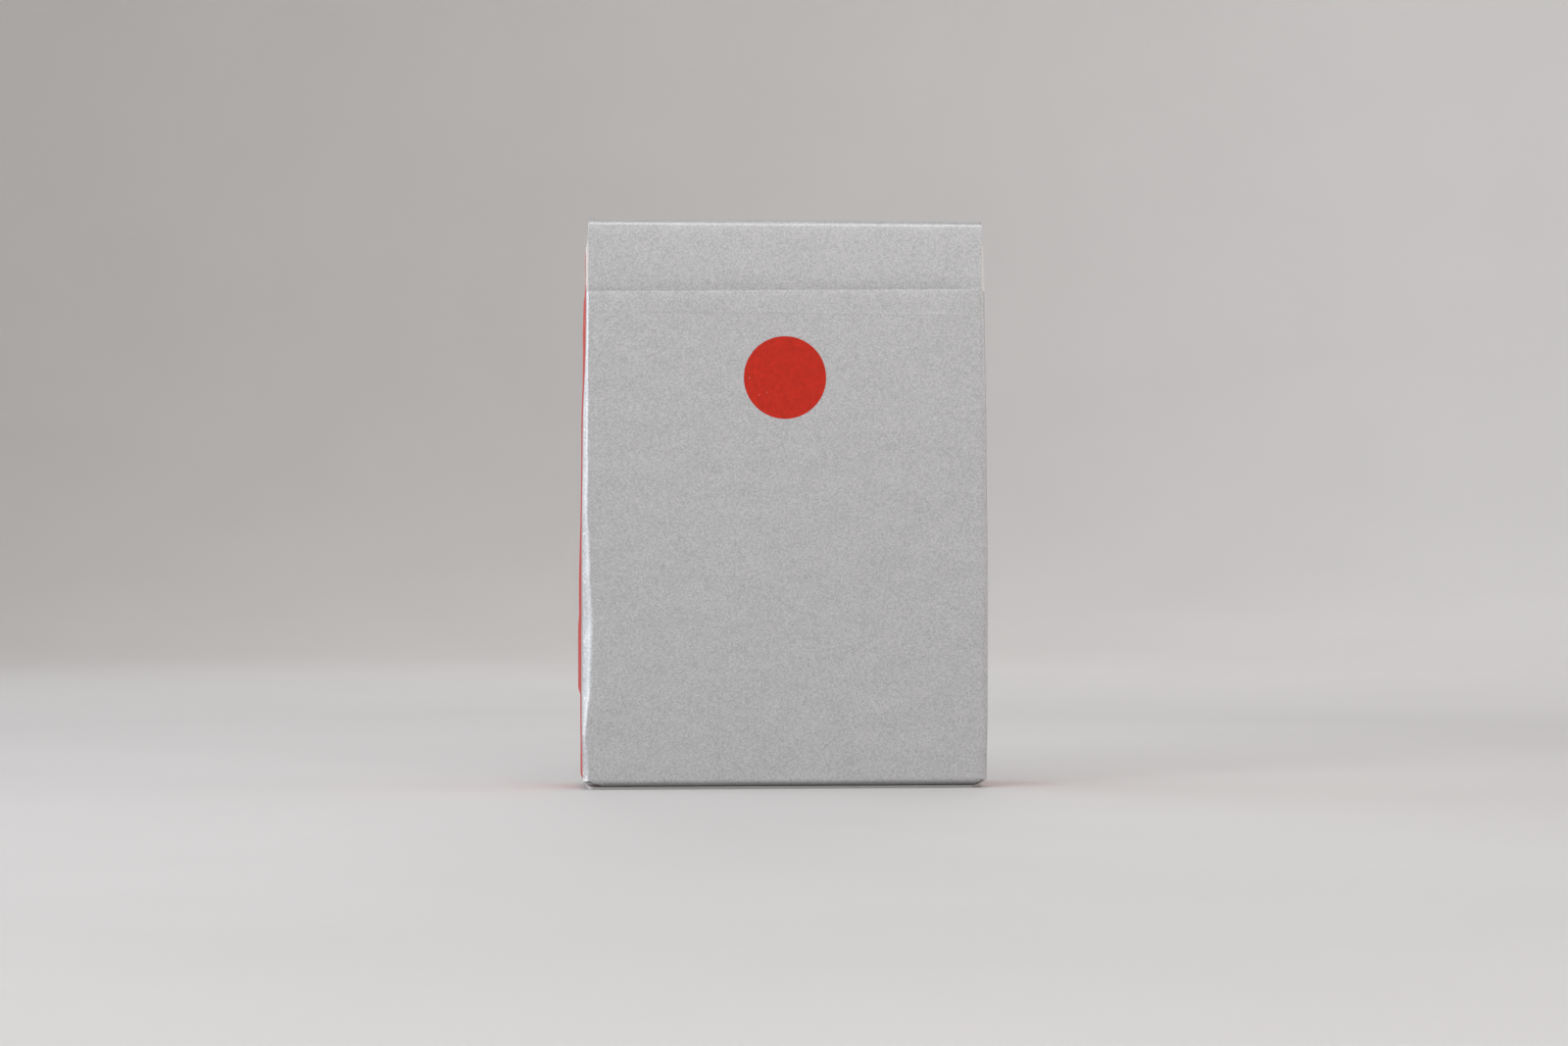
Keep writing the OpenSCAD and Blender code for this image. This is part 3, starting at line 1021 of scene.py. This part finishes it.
def build_sweep():
    """Round studio sweep: a floor that curves up into a wall."""
    wall_r = SWEEP_FLOOR_R + SWEEP_CURVE_R
    profile = path(
        line((0, 0), (SWEEP_FLOOR_R, 0), steps=8),
        arc((SWEEP_FLOOR_R, SWEEP_CURVE_R), SWEEP_CURVE_R, 270, 360, steps=16),
        line((wall_r, SWEEP_CURVE_R), (wall_r, SWEEP_TOP), steps=2),
    )
    turns = line(0, 2 * math.pi, steps=96)
    grid = np.array([[(r * math.cos(t), r * math.sin(t), z) for t in turns] for r, z in profile])
    points, faces = join_grids([grid[:, ::-1]])
    sweep = add_mesh("studio_sweep", points / MM, faces)
    sweep.data.materials.append(floor_look())
    smooth(sweep.data)


def add_lamp(name, place, size, power, colour, spread=180):
    """Soft box that points at the middle of the object, its beam's spread in degrees."""
    data = bpy.data.lights.new(name, "AREA")
    data.shape = "RECTANGLE"
    data.size, data.size_y = size
    data.energy = power
    data.spread = math.radians(spread)
    data.color = colour
    lamp = bpy.data.objects.new(name, data)
    lamp.location = place
    lamp.rotation_euler = (Vector(LAMP_TARGET) - lamp.location).to_track_quat("-Z", "Y").to_euler()
    lamp.visible_camera = False
    bpy.context.scene.collection.objects.link(lamp)


def build_front_light():
    """Soft boxes in front of the object and above it."""
    add_lamp("front_box", place=(-0.05, -0.4, 0.58), size=(0.9, 0.55), power=1.95, colour=WHITE_LIGHT)
    add_lamp("fill_box", place=(0.2, -0.9, 0.4), size=(0.8, 0.6), power=2.5, colour=FILL_LIGHT)
    add_lamp("top_box", place=(0.0, 0.15, 0.75), size=(0.7, 0.5), power=0.4, colour=SOFT_LIGHT)


def build_side_light():
    """Narrower boxes at the sides and behind the object."""
    # Name, place and size in metres, power in watts and colour
    lamps = (
        ("left_window", (-0.68, 0.15, 0.28), (0.9, 0.45), 1.0, WINDOW_LIGHT),
        ("left_front", (-0.55, -0.42, 0.22), (0.3, 0.42), 0.56, COOL_LIGHT),
        ("right_box", (0.7, -0.1, 0.35), (0.35, 0.45), 0.3, WARM_LIGHT),
        ("back_box", (0.1, 0.8, 0.27), (0.6, 0.35), 0.42, SOFT_LIGHT),
    )
    for lamp in lamps:
        add_lamp(*lamp, spread=90)


def build_sky():
    """Even light from all round."""
    world = bpy.data.worlds.new("studio")
    world.use_nodes = True
    background = world.node_tree.nodes["Background"]
    background.inputs["Color"].default_value = SKY_LIGHT
    background.inputs["Strength"].default_value = SKY_STRENGTH
    bpy.context.scene.world = world


def build_camera():
    """Camera at the photograph's place, level with the middle of the case and a little to its left."""
    data = bpy.data.cameras.new("camera")
    data.lens = CAMERA_LENS
    data.sensor_width = CAMERA_SENSOR
    data.shift_x = CAMERA_SHIFT_X
    camera = bpy.data.objects.new("camera", data)
    camera.location = CAMERA_PLACE
    camera.rotation_euler = (math.pi / 2, 0, -CAMERA_TURN)
    bpy.context.scene.collection.objects.link(camera)
    bpy.context.scene.camera = camera


build_case()
build_closure()
build_deck()
build_sweep()
build_front_light()
build_side_light()
build_sky()
build_camera()
bpy.context.scene.view_settings.view_transform = "Standard"
